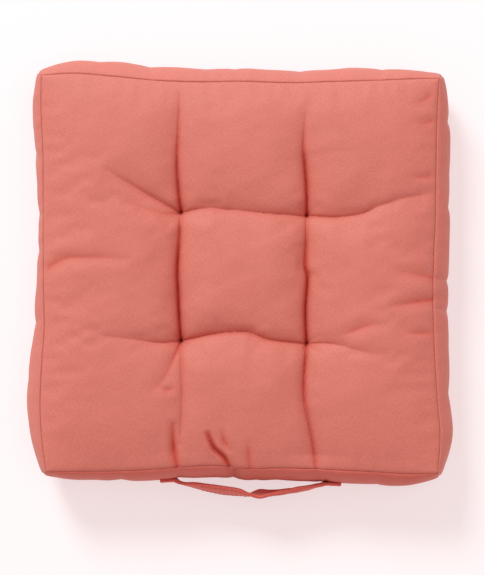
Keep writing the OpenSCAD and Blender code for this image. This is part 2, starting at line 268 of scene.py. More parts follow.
def valley_depth(x, y):
    """How far the valleys sink the cloth. Broad parts join by their greatest depth, each being depth
    times exp(-distance / 22); creases are depth times 0.55 exp(-distance / 5) + 1.2 exp(-distance / 1.1)."""
    broad, sharp = np.zeros(np.shape(x)), np.zeros(np.shape(x))
    for path, wide, narrow in VALLEYS:
        away, share = path_distance(x, y, path)
        past_end = np.where((share <= 0) | (share >= 1), away, 0)
        deep = through([(0, wide[0]), (0.5, wide[1]), (1, wide[2])], share)
        broad += (deep * np.exp(-away / 22)) ** 6
        crease = through([(0, narrow[0]), (0.5, narrow[1]), (1, narrow[2])], share)
        crease = crease * (0.55 * np.exp(-away / 5) + 1.2 * np.exp(-away / 1.1)) * np.exp(-(past_end / 6) ** 2)
        sharp = np.maximum(sharp, crease)
    return broad ** (1 / 6) + sharp


def painted_crease_shade(x, y):
    """Painted shade in the creases, 0 to 1: each crease's own depth by exp(-(distance / 2.2)), for darkening
    the cloth's colour there.
    """
    share_of = np.zeros(np.shape(x))
    lines = [(path, narrow) for path, _, narrow in VALLEYS] + [(f[0], f[2]) for f in FOLDS]
    for path, depths in lines:
        away, share = path_distance(x, y, path)
        deep = through([(0, depths[0]), (0.5, depths[1]), (1, depths[2])], share)
        share_of = np.maximum(share_of, np.clip(deep / 4, 0, 1) * np.exp(-away / 2.2))
    return share_of


def tuft_depth(x, y, deep, wide):
    """How far the ties sink the cloth: a steep pleated funnel in a wide dish at each, with the needle's
    two holes at the bottom."""
    sink = np.zeros(np.shape(x))
    for k, (tx, ty) in enumerate(TUFTS.values()):
        r = np.hypot(x - tx, y - ty)
        around = np.arctan2(y - ty, x - tx)
        pleat = 1 + 0.16 * np.cos(5 * around + 1.3 * k) + 0.12 * np.cos(9 * around + 2.1 * k)
        sink += deep * np.exp(-r / (2.4 * pleat)) + wide * np.exp(-r / 22)
        for side in (-1, 1):
            sink += 2.4 * np.exp(-(((x - tx - side * HOLE_HALF) / 0.7) ** 2 + ((y - ty) / 0.7) ** 2))
    return sink


SEAM_SHARE = 0.45


def seam_drop(x, y):
    """How far the folds and valleys that reach the top seam draw it down."""
    return SEAM_SHARE * (fold_depth(x, y) + valley_depth(x, y))


def over_floor(z):
    """Heights pressed smoothly against the floor at 0."""
    return 0.5 * (z + np.sqrt(z ** 2 + 0.8))


def edge_distance(u, v):
    """Distances to the left or right seam and to the front or back seam, in millimetres."""
    return (1 - np.abs(u))[None, :] * 182, (1 - np.abs(v))[:, None] * 182


def top_form(u, v, folded=True):
    """The top: plan from the seams, height the crown less the ties' funnels and the folds. The crown
    rises from each seam as 1 - exp(-distance / 26), and more slowly at the front."""
    xy = panel_plan(u, v)
    x, y = xy[..., 0], xy[..., 1]
    ex, ey = edge_distance(u, v)
    rise = (1 - np.exp(-ex / 26)) * (1 - np.exp(-ey / (32 - 7 * np.tanh(3 * v[:, None]))))
    z = SEAM_HIGH + CROWN * rise
    z = z - np.minimum(1, rise * 1.4) * tuft_depth(x, y, 5, 4.5)
    if folded:
        edge = np.minimum(ex, ey)
        z = z - np.minimum(1, SEAM_SHARE + edge / 25) * (fold_depth(x, y) + valley_depth(x, y))
        z = z + 0.5 * rise * swell(x, y, 46, 5) + 0.12 * rise * swell(x, y, 19, 8)
        across = np.where(ex < ey, y, x)
        z = z + 0.3 * ripple(across, 18, 3) * np.exp(-edge / 11) * (1 - np.exp(-edge / 2.2))
        z = z - 1.8 * np.exp(-edge / 1.3)
    return np.dstack([x, y, z])


def bottom_form(u, v, folded=True):
    """The bottom: like the top turned over, pressed flat by the floor."""
    xy = panel_plan(u, v)
    x, y = xy[..., 0], xy[..., 1]
    ex, ey = edge_distance(u, v)
    rise = (1 - np.exp(-ex / 15)) * (1 - np.exp(-ey / 15))
    z = SEAM_LOW - 10.5 * rise + rise * tuft_depth(x, y, 7, 4.5)
    if folded:
        edge = np.minimum(ex, ey)
        z = z + 0.5 * rise * swell(x, y, 40, 15)
        z = z + 1.8 * np.exp(-edge / 1.3)
        for a, b in (("back_left", "front_left"), ("back_right", "front_right"),
                     ("back_left", "back_right"), ("front_left", "front_right")):
            away, share = path_distance(x, y, [TUFTS[a], TUFTS[b]])
            z = z + 2.6 * np.exp(-away / 5)
    return np.dstack([x, y, over_floor(z)])


def side_bulge(t):
    """Share of the full bulge at t from 0 at the bottom seam to 1 at the top one: a circle's arc."""
    h = (t - 0.5) * 60
    radius = (30 ** 2 + 15.5 ** 2) / 31
    return (np.sqrt(radius ** 2 - h ** 2) - (radius - 15.5)) / 15.5


# Folds across the boxing: side, place along it, half width, depth, where on the height it is deepest.
SIDE_FOLDS = [
    ("front", -0.03, 4, 6.5, 0.95), ("front", 0.06, 5, 1.6, 0.9), ("front", -0.31, 6, 1.8, 0.9),
    ("front", 0.39, 5, 2.2, 0.95), ("front", 0.43, 4, 2.2, 0.85), ("front", -0.62, 7, 1.0, 0.7),
    ("front", 0.7, 7, 1.0, 0.6), ("right", 0.79, 6, 2.0, 0.6), ("right", -0.02, 5, 2.4, 0.7),
    ("right", -0.17, 4, 2.2, 0.8), ("right", 0.35, 8, 1.2, 0.6), ("right", -0.6, 8, 1.0, 0.5),
    ("left", 0.3, 8, 2.0, 0.8), ("left", 0.12, 9, 2.0, 0.6), ("left", -0.25, 7, 1.4, 0.6),
    ("left", 0.62, 8, 1.2, 0.6), ("back", -0.45, 8, 1.6, 0.8), ("back", 0.3, 7, 1.4, 0.8),
    ("back", -0.02, 6, 1.0, 0.7), ("back", 0.72, 7, 1.4, 0.7),
]


def side_form(side, s, t, folded=True):
    """One boxing strip: out from the seams along the side's normal by BULGE times the arc, and along the
    side near its ends so that two strips share each corner."""
    along, out = np.array(SIDES[side][0], float), np.array(SIDES[side][1], float)
    base = seam(side, s)
    full = through(BULGE[side], s)
    share = side_bulge(t)
    close = np.clip((np.abs(s) - 0.86) / 0.14, 0, 1)
    turn = np.sign(s) * close ** 2 * (3 - 2 * close)
    corner_bulge = np.where(s < 0, BULGE[side][0][1], BULGE[side][-1][1])
    outward = full[None, :] * share[:, None]
    if folded:
        mm_along = s * 183
        low, high = t[:, None] * 70, (1 - t[:, None]) * 70
        clear = (1 - np.exp(-low / 3)) * (1 - np.exp(-high / 3))
        for name, at, width, depth, height in SIDE_FOLDS:
            if name == side:
                lean = (s[None, :] - at) * 183 + 6 * (t[:, None] - height) * np.sign(at + 0.01)
                outward = outward - clear * depth * np.exp(-np.abs(lean) / width) * np.exp(
                    -((t[:, None] - height) / 0.42) ** 2)
        seed = {"front": 21, "back": 22, "left": 23, "right": 24}[side]
        pucker = ripple(mm_along, 16, seed)[None, :]
        outward = outward + 0.3 * pucker * (np.exp(-low / 12) * (1 - np.exp(-low / 2.5))
                                            + np.exp(-high / 12) * (1 - np.exp(-high / 2.5)))
        outward = outward + 0.3 * clear * swell(*np.meshgrid(mm_along, t * 70), 45, seed + 10)
        ends = (1 - np.abs(s))[None, :] * 183
        keep = 1 - np.exp(-ends / 6)
        dip = 1.6 * clear * np.exp(-ends / 1.8)
        outward = keep * outward + (1 - keep) * (full[None, :] * share[:, None]) - dip
        sideways = (corner_bulge * turn)[None, :] * share[:, None] - np.sign(s)[None, :] * dip
    else:
        sideways = (corner_bulge * turn)[None, :] * share[:, None]
    z = np.broadcast_to((SEAM_LOW + 60 * t)[:, None], outward.shape)
    if folded:
        # The seam's own dip pulls both cloths down or up with it.
        down = (1 - t[:, None]) * 70
        z = z - 1.8 * np.exp(-down / 1.3) + 1.8 * np.exp(-t[:, None] * 70 / 1.3)
        z = over_floor(z - seam_drop(base[:, 0], base[:, 1])[None, :] * np.exp(-down / 14))
    xy = base[None] + outward[..., None] * out + sideways[..., None] * along
    return np.dstack([xy, z])


# ---------------------------------------------------------------- meshes and pieces
def grid_faces(rows, columns, flip=False):
    """The four-sided faces of a grid of points, as an array of point numbers."""
    k = np.arange(rows * columns).reshape(rows, columns)
    quads = np.stack([k[:-1, :-1], k[:-1, 1:], k[1:, 1:], k[1:, :-1]], -1).reshape(-1, 4)
    return quads[:, ::-1] if flip else quads


def mesh_object(name, points, faces, uv=None):
    """A smooth mesh from points in millimetres, faces of four, and the cloth's own coordinates in mm."""
    mesh = bpy.data.meshes.new(name)
    mesh.vertices.add(len(points))
    mesh.vertices.foreach_set("co", mm(points).ravel())
    mesh.loops.add(faces.size)
    mesh.loops.foreach_set("vertex_index", faces.ravel())
    mesh.polygons.add(len(faces))
    mesh.polygons.foreach_set("loop_start", np.arange(0, faces.size, faces.shape[1]))
    mesh.polygons.foreach_set("use_smooth", np.ones(len(faces), bool))
    mesh.update(calc_edges=True)
    if uv is not None:
        layer = mesh.uv_layers.new(name="cloth_mm")
        layer.data.foreach_set("uv", uv[faces.ravel()].ravel())
    mesh.validate()
    obj = bpy.data.objects.new(name, mesh)
    bpy.context.collection.objects.link(obj)
    return obj


def cloth_sheet(name, form, uv, flip, thick=0.9):
    """A grid of points as a sheet of cloth, thickened inwards."""
    rows, columns = form.shape[:2]
    obj = mesh_object(name, form.reshape(-1, 3), grid_faces(rows, columns, flip), uv.reshape(-1, 2))
    wall = obj.modifiers.new("cloth_thickness", "SOLIDIFY")
    wall.thickness, wall.offset, wall.use_rim = thick * 0.001, -1, True
    return obj


def grid_steps(count, fine_at):
    """Steps from -1 to 1 that crowd together near the seams and near the creases at fine_at."""
    at = np.linspace(-1, 1, 4001)
    crowd = 1 + 0.5 * np.exp(-((1 - np.abs(at)) / 0.04))
    for place in fine_at:
        crowd = crowd + 1.1 * np.exp(-((at - place) / 0.035) ** 2)
    total = np.concatenate([[0], np.cumsum((crowd[1:] + crowd[:-1]) / 2)])
    return np.interp(np.linspace(0, total[-1], count), total, at)


N_SIDE = 289
N_HIGH = 53
U = grid_steps(N_SIDE, (-0.305, -0.1, 0.34))
V = grid_steps(N_SIDE, (-0.347, 0.305))
T = (grid_steps(N_HIGH, ()) + 1) / 2


# ---------------------------------------------------------------- the cover settling on its filling
def cubic_weights(at, count):
    """Weights that read smooth values at the places `at` (-1 to 1) from `count` even samples."""
    place = (np.asarray(at) + 1) / 2 * (count - 1)
    first = np.clip(np.floor(place).astype(int), 0, count - 2)
    f = place - first
    weights = np.zeros((len(place), count))
    parts = (-0.5 * f + f ** 2 - 0.5 * f ** 3, 1 - 2.5 * f ** 2 + 1.5 * f ** 3,
             0.5 * f + 2 * f ** 2 - 1.5 * f ** 3, -0.5 * f ** 2 + 0.5 * f ** 3)
    for k, part in enumerate(parts):
        np.add.at(weights, (np.arange(len(place)), np.clip(first + k - 1, 0, count - 1)), part)
    return weights


# The cover's pieces, each with whether its grid's faces have to be turned over to face outwards.
COVER_FACES = {"top_panel": False, "bottom_panel": True, "boxing_front": False, "boxing_back": True,
               "boxing_left": True, "boxing_right": False}


def weld(points, edge):
    """New numbers for points, where those on edges that lie at the same place share one."""
    number = np.arange(len(points))
    own = np.flatnonzero(edge)
    gap = np.abs(points[own][:, None] - points[own][None]).max(-1)
    number[own] = own[np.argmax(gap < 0.06, axis=1)]
    kept, number = np.unique(number, return_inverse=True)
    return points[kept], number.reshape(-1)


wrinkles = {}
# Share of painted shade on the front boxing, which faces away from the light.
FRONT_PAINTED_SHADE = 0.36


def paint_crease_and_front_shade(obj, form, name):
    """Gives the cloth the attribute "crease", painted shade that deepens its colour in the top's creases. The
    front boxing, which faces away from the light, gets painted shade all over."""
    share = np.full(form.shape[:2], FRONT_PAINTED_SHADE if name == "boxing_front" else 0.0)
    if name == "top_panel":
        share = painted_crease_shade(form[..., 0], form[..., 1])
    layer = obj.data.attributes.new("crease", "FLOAT", "POINT")
    layer.data.foreach_set("value", share.ravel().astype(np.float32))


def wrinkled(name, form, across, up):
    """The form with the simulated moves added, read smoothly at its own grid lines."""
    if name not in wrinkles:
        return form
    move = wrinkles[name]
    return form + np.einsum("ai,ijk,bj->abk", cubic_weights(up, move.shape[0]), move,
                            cubic_weights(across, move.shape[1]))


def cover_form(name, across, along, up):
    """One of the cover's six forms on the given grid lines, with its wrinkles."""
    if name == "top_panel":
        return wrinkled(name, top_form(across, along), across, along)
    if name == "bottom_panel":
        return wrinkled(name, bottom_form(across, along), across, along)
    side = name.split("_")[1]
    s = across if side in ("front", "back") else along
    return wrinkled(name, side_form(side, s, up), s, 2 * up - 1)


def whole_cover(across, along, up, step=1, sink=0):
    """The cover's six forms on the given grid lines, of which each step-th is kept, as one welded closed
    body. The filling's faces lie sink inside the lowest cloth near them. Returns the points, the faces,
    and for each form the numbers of its points."""
    forms = {name: cover_form(name, across, along, up) for name in COVER_FACES}
    if sink:
        for form, pick in ((forms["top_panel"], np.minimum), (forms["bottom_panel"], np.maximum)):
            z = form[..., 2].copy()
            for i in (0, 1, 2):
                for j in (0, 1, 2):
                    near = z[i:i + len(z) - 2, j:j + z.shape[1] - 2]
                    form[1:-1, 1:-1, 2] = pick(form[1:-1, 1:-1, 2], near)
    points, faces, edge, numbers, start = [], [], [], {}, 0
    for name, flip in COVER_FACES.items():
        form = forms[name][::step, ::step]
        rows, columns = form.shape[:2]
        rim = np.ones((rows, columns), bool)
        rim[1:-1, 1:-1] = False
        points.append(form.reshape(-1, 3))
        edge.append(rim.ravel())
        numbers[name] = start + np.arange(rows * columns).reshape(rows, columns)
        faces.append(grid_faces(rows, columns, flip) + start)
        start += rows * columns
    points, number = weld(np.concatenate(points), np.concatenate(edge))
    plan, z = points[:, :2], points[:, 2]
    plan = plan - 1.7 * sink * np.sign(plan) * np.minimum(1, np.abs(plan) / 186) ** 6
    points = np.column_stack([plan, z - sink * np.tanh((z - MIDDLE) / 8)])
    return points, number[np.concatenate(faces)], {name: number[own] for name, own in numbers.items()}


def settle(count=57, high=11, last_frame=18):
    """Short wrinkles and puckers of the cover, from a cloth simulation: the closed cover, cut 3 percent
    too large, is blown up from within while its seams and its ties hold it. Returns for each form the
    moves on an even grid, less their own broad part, at most 2.5 mm and fading out at the seams."""
    even = np.linspace(-1, 1, count)
    points, faces, numbers = whole_cover(even, even, np.linspace(0, 1, high))
    cover = mesh_object("settling_cover", points, faces)
    hold = cover.vertex_groups.new(name="hold")
    held = np.zeros(len(points))
    for name, own in numbers.items():
        held[own[[0, -1]].ravel()] = 1
        held[own[:, [0, -1]].ravel()] = 1
    for tx, ty in TUFTS.values():
        held = np.maximum(held, np.hypot(points[:, 0] - tx, points[:, 1] - ty) < 7)
    held = np.maximum(held, (points[:, 2] < 1.5) * 1.0)
    hold.add(np.flatnonzero(held).tolist(), 1.0, "REPLACE")
    cloth = cover.modifiers.new("settling", "CLOTH")
    cloth.settings.quality = 6
    cloth.settings.mass = 0.3
    cloth.settings.tension_stiffness = cloth.settings.compression_stiffness = 15
    cloth.settings.shear_stiffness = 8
    cloth.settings.bending_stiffness = 0.4
    cloth.settings.shrink_min = -0.03
    cloth.settings.use_pressure = True
    cloth.settings.uniform_pressure_force = 4
    cloth.settings.vertex_group_mass = "hold"
    cloth.settings.effector_weights.gravity = 0
    cloth.collision_settings.use_collision = False
    cloth.collision_settings.use_self_collision = False
    cloth.point_cache.frame_start, cloth.point_cache.frame_end = 1, last_frame
    scene = bpy.context.scene
    for frame_number in range(1, last_frame + 1):
        scene.frame_set(frame_number)
    graph = bpy.context.evaluated_depsgraph_get()
    moved = cover.evaluated_get(graph).to_mesh()
    place = np.zeros(len(points) * 3)
    moved.vertices.foreach_get("co", place)
    moves = place.reshape(-1, 3) * 1000 - points
    cover.evaluated_get(graph).to_mesh_clear()
    bpy.data.objects.remove(cover)
    scene.frame_set(1)
    out = {}
    for name, own in numbers.items():
        move = moves[own]
        broad = move.copy()
        for _ in range(6):
            for axis in (0, 1):
                spread = [(1, 1) if k == axis else (0, 0) for k in (0, 1, 2)]
                wide = np.pad(broad, spread, mode="edge")
                low = wide.take(range(0, broad.shape[axis]), axis)
                top = wide.take(range(2, broad.shape[axis] + 2), axis)
                broad = (low + 2 * broad + top) / 4
        move = move - broad
        size = np.linalg.norm(move, axis=-1, keepdims=True)
        move = move * np.minimum(1, 2.5 / np.maximum(size, 1e-6)) * (0.3 if "panel" in name else 0.12)
        fade_rows = np.sin(np.linspace(0, np.pi, own.shape[0])) ** 0.5
        fade_columns = np.minimum(1, (1 - np.abs(np.linspace(-1, 1, own.shape[1]))) * 14)
        out[name] = move * fade_rows[:, None, None] * fade_columns[None, :, None]
    return out


wrinkles = settle()
TOP = cover_form("top_panel", U, V, T)
pieces = {}
for name, flip in COVER_FACES.items():
    side = name.split("_")[1]
    s = V if side in ("left", "right") else U
    uv = np.meshgrid(U * 186, V * 186) if "panel" in name else np.meshgrid(s * 188, T * 70)
    form = cover_form(name, U, V, T)
    pieces[name] = cloth_sheet(name + "_cloth", form, np.dstack(uv), flip)
    # Painted shade in the creases and on the front boxing, kept in the attribute "crease".
    paint_crease_and_front_shade(pieces[name], form, name)


# ---------------------------------------------------------------- filling
def filling():
    """The fibre in one closed body, which follows the cover from 2.6 mm inside it."""
    points, faces, _ = whole_cover(U, V, T, 2, 2.6)
    return mesh_object("fibre_filling_body", points, faces)


# ---------------------------------------------------------------- threads
def tube(name, lines, radius, sides=8):
    """Round threads along smooth lines of points: rings of radius around each line, closed at the ends
    by small caps. Each line is an array of points; all are joined in one mesh."""
    points, faces, start = [], [], 0
    turn = np.linspace(0, 2 * np.pi, sides, endpoint=False)
    ring = np.arange(sides)
    for line in lines:
        line = np.array(line, float)
        way = np.gradient(line, axis=0)
        way /= np.linalg.norm(way, axis=1, keepdims=True)
        guide = np.array([0.31, 0.17, 0.94]) if abs(way[0, 2]) < 0.9 else np.array([0.94, 0.31, 0.17])
        one = np.cross(way, guide)
        one /= np.linalg.norm(one, axis=1, keepdims=True)
        two = np.cross(way, one)
        r = np.full(len(line), radius)
        r[[0, -1]] = 0.35 * radius
        rim = np.cos(turn)[None, :, None] * one[:, None] + np.sin(turn)[None, :, None] * two[:, None]
        points.append((line[:, None] + r[:, None, None] * rim).reshape(-1, 3))
        for k in range(len(line) - 1):
            here, there = start + k * sides, start + (k + 1) * sides
            faces.append(np.stack([here + ring, here + (ring + 1) % sides,
                                   there + (ring + 1) % sides, there + ring], -1))
        for k, order in ((0, -1), (len(line) - 1, 1)):
            cap = start + k * sides + ring[::order]
            faces.append(np.array([[cap[0], cap[i], cap[i + 1], cap[i + 2]] for i in range(1, sides - 2, 2)]))
        start += len(line) * sides
    return mesh_object(name, np.concatenate(points), np.concatenate(faces))


def stitch_lines(starts, ends, outward, lift):
    """Lines for short stitches from starts to ends, arched outward by lift and sunk at both ends."""
    part = np.array([0, 0.12, 0.35, 0.65, 0.88, 1.0])
    arch = np.array([-0.5, 0.35, 0.9, 0.9, 0.35, -0.5]) * lift
    return [a + part[:, None] * (b - a) + arch[:, None] * n for a, b, n in zip(starts, ends, outward)]


def cover_height(grid, x, y):
    """Height of a panel's form at one place: that of its nearest grid point."""
    return grid[..., 2].ravel()[np.argmin(np.hypot(grid[..., 0] - x, grid[..., 1] - y))]


def tie(name, x, y):
    """One tie: two strands through the cushion, a short bar of thread on top, and a bar and its knot
    underneath."""
    high = cover_height(TOP, x, y) + 0.9
    low = cover_height(bottom_form(U, V), x, y) - 0.9
    lines = []
    bend = np.linspace(0, np.pi, 7)
    for up, level in ((1, high), (-1, low)):
        arch = np.column_stack([x - HOLE_HALF * np.cos(bend), np.full(7, y), level + up * 0.5 * np.sin(bend)])
        lines.append(np.vstack([[x - HOLE_HALF, y, level - up * 4], arch, [x + HOLE_HALF, y, level - up * 4]]))
    for s in (-1, 1):
        lines.append(np.column_stack([np.full(6, x + s * HOLE_HALF), np.full(6, y),
                                      np.linspace(low + 3, high - 3, 6)]))
    knot = np.linspace(0, 3 * np.pi, 19)
    lines.append(np.column_stack([x + 0.9 * np.cos(knot), y + 0.9 * np.sin(knot),
                                  low - 0.4 - 0.9 * np.linspace(0, 1, 19)]))
    return tube(name, lines, 0.5)


def seam_run(height, inset):
    """The closed run of seam thread, just inside the seam all round, drawn down with it by the folds."""
    s = np.linspace(-0.985, 0.985, 60)
    loop = []
    for side, order in (("front", 1), ("right", 1), ("back", -1), ("left", -1)):
        loop.append(seam(side, s[::order]) - inset * np.array(SIDES[side][1], float))
    loop = np.concatenate(loop)
    loop = np.vstack([loop, loop[:1]])
    sink = seam_drop(loop[:, 0], loop[:, 1]) if height > MIDDLE else np.zeros(len(loop))
    return np.column_stack([loop, height - sink])


def closing_run():
    """Stitches that close the opening left for the filling, across the bottom seam at the back."""
    at = np.arange(-75, 76, 4) / 183
    place = np.column_stack([seam("back", at), np.full(len(at), SEAM_LOW)])
    step = np.array([1.5, 0, 0])
    outward = np.tile([0, 0.75, -0.66], (len(at), 1))
    return stitch_lines(place - step - 0.6 * outward, place + step - 0.6 * outward, outward, 0.5)


# ---------------------------------------------------------------- handle
STRAP_HALF, STRAP_THICK = 11, 2.4
TAB_LEFT, TAB_RIGHT = (-74.6, -61.9), (83.6, 95.8)
# The strap's middle line: x, y, lean in degrees (its lower edge outwards), bow outwards, half width.
STRAP_LINE = [(-61.9, -195.6, 0, 0.2, 10.6), (-57.9, -196.2, 4, 0.6, 10), (-50.3, -197.6, 8, 1, 9.6),
              (-39.0, -199.3, 17, 1.4, 10), (-27.7, -201.5, 21, 1.6, 10.6), (-13.5, -203.7, 22, 1.6, 11),
              (0.6, -205.7, 18, 1.2, 11), (10.1, -207.7, 6, 0.8, 11), (19.5, -207.2, -12, 0.4, 11),
              (28.9, -205.8, -3, 2.4, 11), (47.8, -202.6, 6, 3.4, 10.8), (62.0, -200.4, 8, 3.2, 10.2),
              (72.4, -198.8, 5, 1.8, 9.8), (80.8, -197.8, 2, 0.6, 10), (83.6, -197.4, 0, 0.2, 10.6)]


def boxing_out(x, z):
    """How far out the front boxing's face is at x and height z."""
    low, high = CORNERS[-1, -1][0], CORNERS[1, -1][0]
    s = 2 * (x - low) / (high - low) - 1
    return through(SEAM_OUT["front"], s) + through(BULGE["front"], s) * side_bulge((z - SEAM_LOW) / 60)


def strap_middle(x, across):
    """Points of the strap's middle surface for columns of x and rows of `across` from -1 to 1: on the
    boxing at its two sewn ends, and along STRAP_LINE between them."""
    x, across = np.meshgrid(x, across, indexing="ij")
    line = through([(p[0], *p[1:]) for p in STRAP_LINE], x)
    y, lean, bow, half = line[..., 0], np.radians(line[..., 1]), line[..., 2], line[..., 3]
    free = np.stack([x, y + half * across * np.sin(lean) - bow * (1 - across ** 2),
                     MIDDLE + half * across * np.cos(lean)], -1)
    z = MIDDLE + 10.8 * across
    sewn = np.stack([x, -(boxing_out(x, z) + 0.25 + STRAP_THICK / 2), z], -1)
    inward = np.minimum(x - TAB_LEFT[1], TAB_RIGHT[0] - x)
    blend = np.clip((inward + 1) / 7, 0, 1)[..., None]
    blend = blend ** 2 * (3 - 2 * blend)
    crumple = 0.15 * swell(x, z, 13, 41)[..., None] * blend * np.array([0, 1, 0])
    return sewn + (free - sewn) * blend + crumple


def strap_faces(x, across):
    """Outer and inner face of the strap: the middle surface moved along its normal by half the
    thickness, which rounds off to nothing at the edges and the ends."""
    middle = strap_middle(x, across)
    normal = np.cross(np.gradient(middle, axis=0), np.gradient(middle, axis=1))
    normal /= np.linalg.norm(normal, axis=-1, keepdims=True)
    edge = (1 - np.abs(across))[None, :] * STRAP_HALF
    end = np.minimum(x - x[0], x[-1] - x)[:, None]
    near = np.clip(np.minimum(edge, end) / 1.3, 0, 1)
    puff = 1 + 0.35 * np.exp(-((edge - 1.8) / 1.6) ** 2) - 0.12 * np.exp(-((edge - 3.6) / 0.9) ** 2)
    half = STRAP_THICK / 2 * (0.06 + 0.94 * np.sqrt(1 - (1 - near) ** 2)) * puff
    outer = middle + normal * half[..., None]
    return outer, middle - normal * half[..., None], normal


def strap():
    """The folded canvas strap as one closed mesh: its outer and inner face, joined round the edges."""
    n_x, n_a = ((361, 45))
    x = np.linspace(TAB_LEFT[0], TAB_RIGHT[1], n_x)
    across = np.sin(np.linspace(-np.pi / 2, np.pi / 2, n_a))
    outer, inner, _ = strap_faces(x, across)
    points = np.concatenate([outer.reshape(-1, 3), inner.reshape(-1, 3)])
    k = np.arange(n_x * n_a).reshape(n_x, n_a)
    far = k + n_x * n_a
    rim = np.concatenate([k[:, 0], k[-1, 1:], k[-2::-1, -1], k[0, -2:0:-1]])
    rim_far = rim + n_x * n_a
    bands = np.stack([rim, rim_far, np.roll(rim_far, -1), np.roll(rim, -1)], -1)
    faces = np.concatenate([grid_faces(n_x, n_a), grid_faces(n_x, n_a, True) + n_x * n_a, bands])[:, ::-1]
    flat = np.stack(np.meshgrid(x, across * STRAP_HALF, indexing="ij"), -1).reshape(-1, 2)
    return mesh_object("handle_strap_band", points, faces, np.concatenate([flat, flat + [0, 40]]))


def strap_rows(x_from, x_to, levels, pitch, length):
    """Stitches along the strap's outer face, in rows at the given shares of its half width."""
    lines = []
    fine = np.linspace(TAB_LEFT[0], TAB_RIGHT[1], 1601)
    outer, _, normal = strap_faces(fine, np.array(levels, float))
    for j in range(len(levels)):
        at = np.arange(x_from, x_to, pitch)
        a, b = np.searchsorted(fine, at), np.searchsorted(fine, at + length)
        n = normal[a, j] * np.sign(-normal[a, j, 1:2])
        lines += stitch_lines(outer[a, j], outer[b, j], n, 0.06)
    return lines


def cross_rows(places, length):
    """The short stitches across the strap at its sewn ends."""
    lines = []
    levels = np.linspace(-0.55, 0.55, 5)
    fine = np.linspace(TAB_LEFT[0], TAB_RIGHT[1], 1601)
    for level in levels:
        span = np.array([level - 0.07, level, level + 0.07])
        outer, _, normal = strap_faces(fine, span)
        for x in places:
            i = np.searchsorted(fine, x)
            lines += stitch_lines(outer[i:i + 1, 0], outer[i:i + 1, 2],
                                  normal[i:i + 1, 1] * np.sign(-normal[i, 1, 1]), 0.35)
    return lines


# ---------------------------------------------------------------- materials
def linear(hex_colour):
    """An sRGB colour such as 'd88070' as linear red, green, blue and alpha."""
    c = np.array([int(hex_colour[i:i + 2], 16) for i in (0, 2, 4)]) / 255
    c = np.where(c <= 0.04045, c / 12.92, ((c + 0.055) / 1.055) ** 2.4)
    return (*c.tolist(), 1.0)


def new_material(name):
    """An empty node material with its output."""
    material = bpy.data.materials.new(name)
    material.use_nodes = True
    material.node_tree.nodes.clear()
    return material


def node(material, kind, settings=None, **links):
    """Adds a node: settings are its properties and unlinked sockets, links its sockets' sources."""
    n = material.node_tree.nodes.new(kind)
    for key, value in (settings or {}).items():
        if hasattr(n, key) and key not in n.inputs:
            setattr(n, key, value)
        else:
            n.inputs[key].default_value = value
    for key, source in links.items():
        socket = n.inputs[int(key[1:])] if key[0] == "i" and key[1:].isdigit() else n.inputs[key]
        material.node_tree.links.new(source, socket)
    return n


def canvas(name, base, light, dark, painted_shade_colour, thread_mm, relief):
    """Plain-woven brushed cotton canvas: matt, with a soft whitish gloss from its short fibres, and warp
    and weft threads that run unevenly along the cloth's own two directions. Where the "crease" attribute is
    set, painted shade mixes in a deeper colour."""
    m = new_material(name)
    uv = node(m, "ShaderNodeUVMap", {"uv_map": "cloth_mm"}).outputs["UV"]
    warp_map = node(m, "ShaderNodeMapping", {"Scale": (1 / thread_mm, 1 / (3.2 * thread_mm), 1)}, Vector=uv)
    weft_map = node(m, "ShaderNodeMapping", {"Scale": (1 / (3.2 * thread_mm), 1 / thread_mm, 1),
                                             "Location": (7.3, 2.1, 0)}, Vector=uv)
    warp = node(m, "ShaderNodeTexNoise", {"Scale": 1.0, "Detail": 1.0, "Roughness": 0.5},
                Vector=warp_map.outputs[0])
    weft = node(m, "ShaderNodeTexNoise", {"Scale": 1.0, "Detail": 1.0, "Roughness": 0.5},
                Vector=weft_map.outputs[0])
    threads = node(m, "ShaderNodeMath", {"operation": "ADD"}, i0=warp.outputs["Fac"], i1=weft.outputs["Fac"])
    broad = node(m, "ShaderNodeTexNoise", {"Scale": 0.012, "Detail": 3.0, "Roughness": 0.55}, Vector=uv)
    tone = node(m, "ShaderNodeMapRange", {"From Min": 0.7, "From Max": 1.3, "To Min": 0.0, "To Max": 1.0},
                Value=threads.outputs[0])
    ramp = node(m, "ShaderNodeValToRGB", {}, Fac=tone.outputs[0])
    ramp.color_ramp.elements[0].position, ramp.color_ramp.elements[0].color = 0.1, linear(dark)
    ramp.color_ramp.elements[1].position, ramp.color_ramp.elements[1].color = 0.9, linear(light)
    middle = ramp.color_ramp.elements.new(0.5)
    middle.color = linear(base)
    drift = node(m, "ShaderNodeMapRange", {"From Min": 0.3, "From Max": 0.7, "To Min": 0.98, "To Max": 1.02},
                 Value=broad.outputs["Fac"])
    shade = node(m, "ShaderNodeHueSaturation", {"Saturation": 1.0}, Color=ramp.outputs[0],
                 Value=drift.outputs[0])
    # Painted shade: the "crease" attribute mixes a deeper colour into the creases of the top and over the
    # front boxing.
    crease = node(m, "ShaderNodeAttribute", {"attribute_name": "crease"})
    deep = node(m, "ShaderNodeMix", {"data_type": "RGBA"}, i0=crease.outputs["Fac"], i6=shade.outputs[0])
    deep.inputs[7].default_value = linear(painted_shade_colour)
    bump = node(m, "ShaderNodeBump", {"Strength": relief, "Distance": 0.0003}, Height=threads.outputs[0])
    cloth = node(m, "ShaderNodeBsdfPrincipled", {"Roughness": 0.62, "Specular IOR Level": 0.4,
                                                 "Sheen Weight": 0.04, "Sheen Roughness": 0.5,
                                                 "Sheen Tint": linear("ffb8a8")},
                 Normal=bump.outputs[0])
    m.node_tree.links.new(deep.outputs[2], cloth.inputs["Base Color"])
    node(m, "ShaderNodeOutputMaterial", {}, Surface=cloth.outputs[0])
    return m


